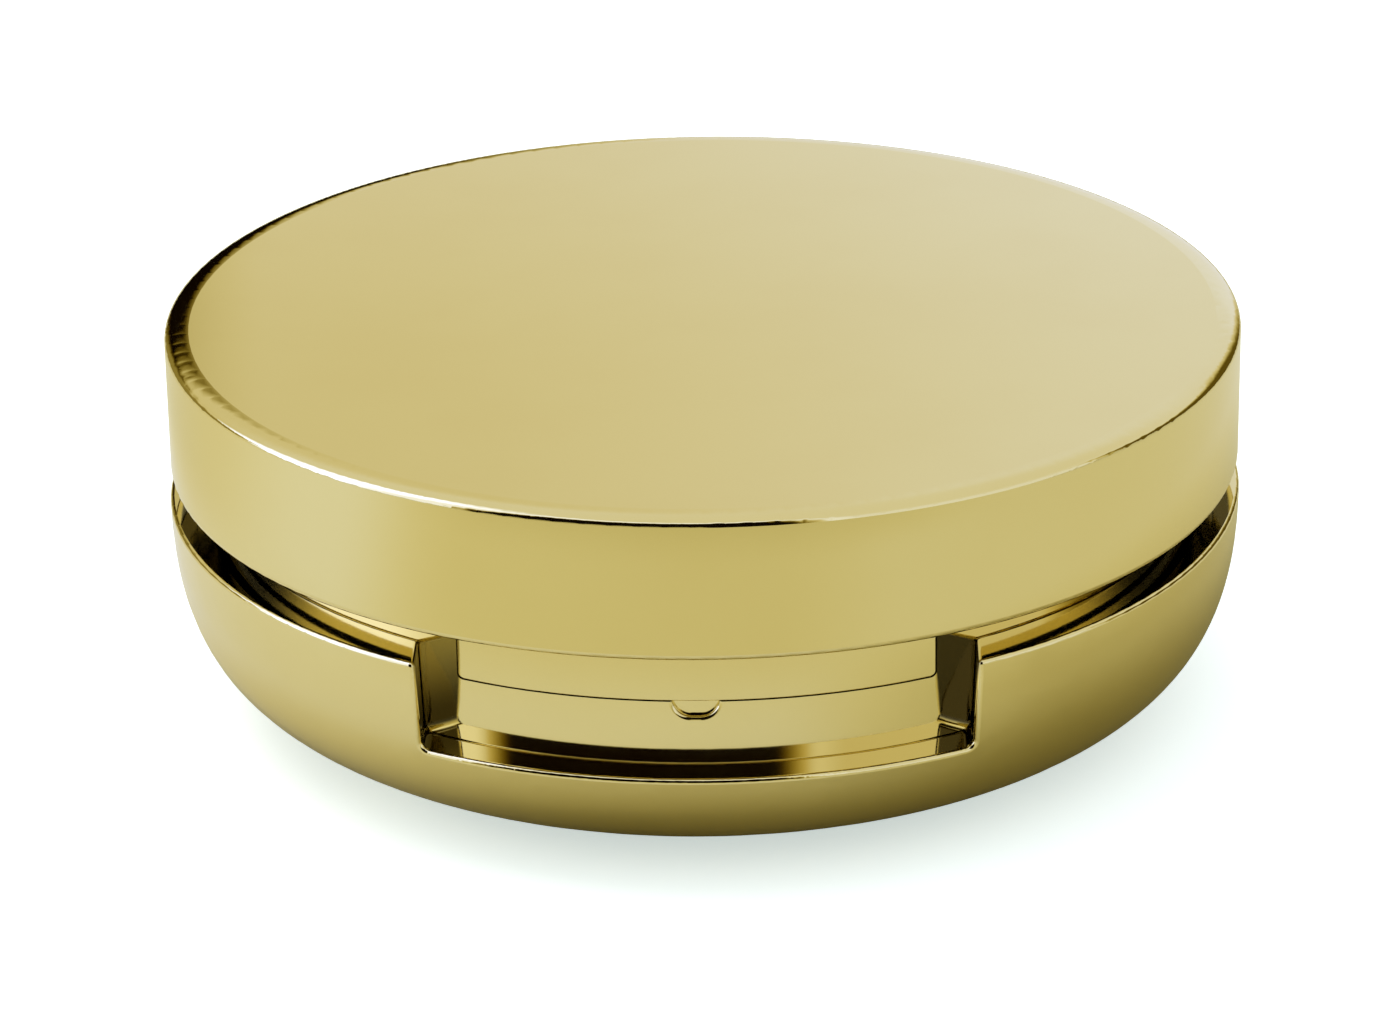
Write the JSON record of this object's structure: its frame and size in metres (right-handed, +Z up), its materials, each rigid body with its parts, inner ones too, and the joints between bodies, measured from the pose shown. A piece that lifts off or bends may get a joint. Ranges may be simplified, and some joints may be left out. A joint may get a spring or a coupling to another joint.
{
  "type": "powder compact",
  "caption": "Round mirror-finish gold powder compact with a hinged lid, thumb notch, mirror, hinged powder tray and a puff in the well below.",
  "frame": {"origin": "centre of the foot's underside, on the axis of the round case", "axes": "+Z up along the case's axis, the thumb notch faces -Y and the hinge is at +Y, +X to the right of the notch seen from the front"},
  "size_m": [0.0752, 0.0755, 0.0276],
  "materials": {
    "gold_shell": "moulded plastic, vacuum-metallised pale gold and mirror-polished",
    "gold_inner": "moulded plastic, vacuum-metallised pale gold",
    "foam_tape": "white adhesive foam",
    "steel": "bright zinc-plated",
    "felt": "black felt",
    "label_foil": "blank satin foil label",
    "mirror_glass": "silvered glass",
    "soft_seal": "translucent silicone",
    "magnet_sheet": "flexible magnet sheet",
    "pan_aluminium": "bright pressed",
    "pressed_powder": "pressed face powder, matte, fine weave imprint",
    "puff_velour": "short-pile cotton velour",
    "puff_satin": "woven satin"
  },
  "bodies": {
    "base": {"base_shell": "gold_shell", "base_core": "gold_inner", "ballast_tape": "foam_tape", "ballast_disc": "steel", "well_pad": "felt", "base_label": "label_foil", "hinge_pin": "steel", "hinge_caps": "gold_inner"},
    "lid": {"lid_shell": "gold_shell", "lid_liner": "gold_inner", "mirror_tape": "foam_tape", "mirror": "mirror_glass", "mirror_ring": "gold_inner"},
    "tray": {"powder_tray": "gold_inner", "tray_seal": "soft_seal", "pan_magnet": "magnet_sheet", "powder_pan": "pan_aluminium", "powder_cake": "pressed_powder"},
    "puff": {"puff_pad": "puff_velour", "puff_cover": "puff_satin", "puff_ribbon": "puff_satin"}
  },
  "joints": [
    {"name": "lid_hinge", "type": "hinge", "parent": "base", "child": "lid", "pos_m": [0, 0.0362, 0.016], "axis": [-1, 0, 0], "range_deg": [0, 120]},
    {"name": "tray_hinge", "type": "hinge", "parent": "base", "child": "tray", "pos_m": [0, 0.0362, 0.016], "axis": [-1, 0, 0], "range_deg": [0, 66]},
    {"name": "puff_lift", "type": "slide", "parent": "base", "child": "puff", "axis": [0, 0, 1], "range_m": [0, 0.021]}
  ],
  "couplings": [
    {"joint": "tray_hinge", "follows": "lid_hinge", "ratio": 0.55},
    {"joint": "puff_lift", "follows": "lid_hinge", "m_per_rad": 0.01}
  ]
}
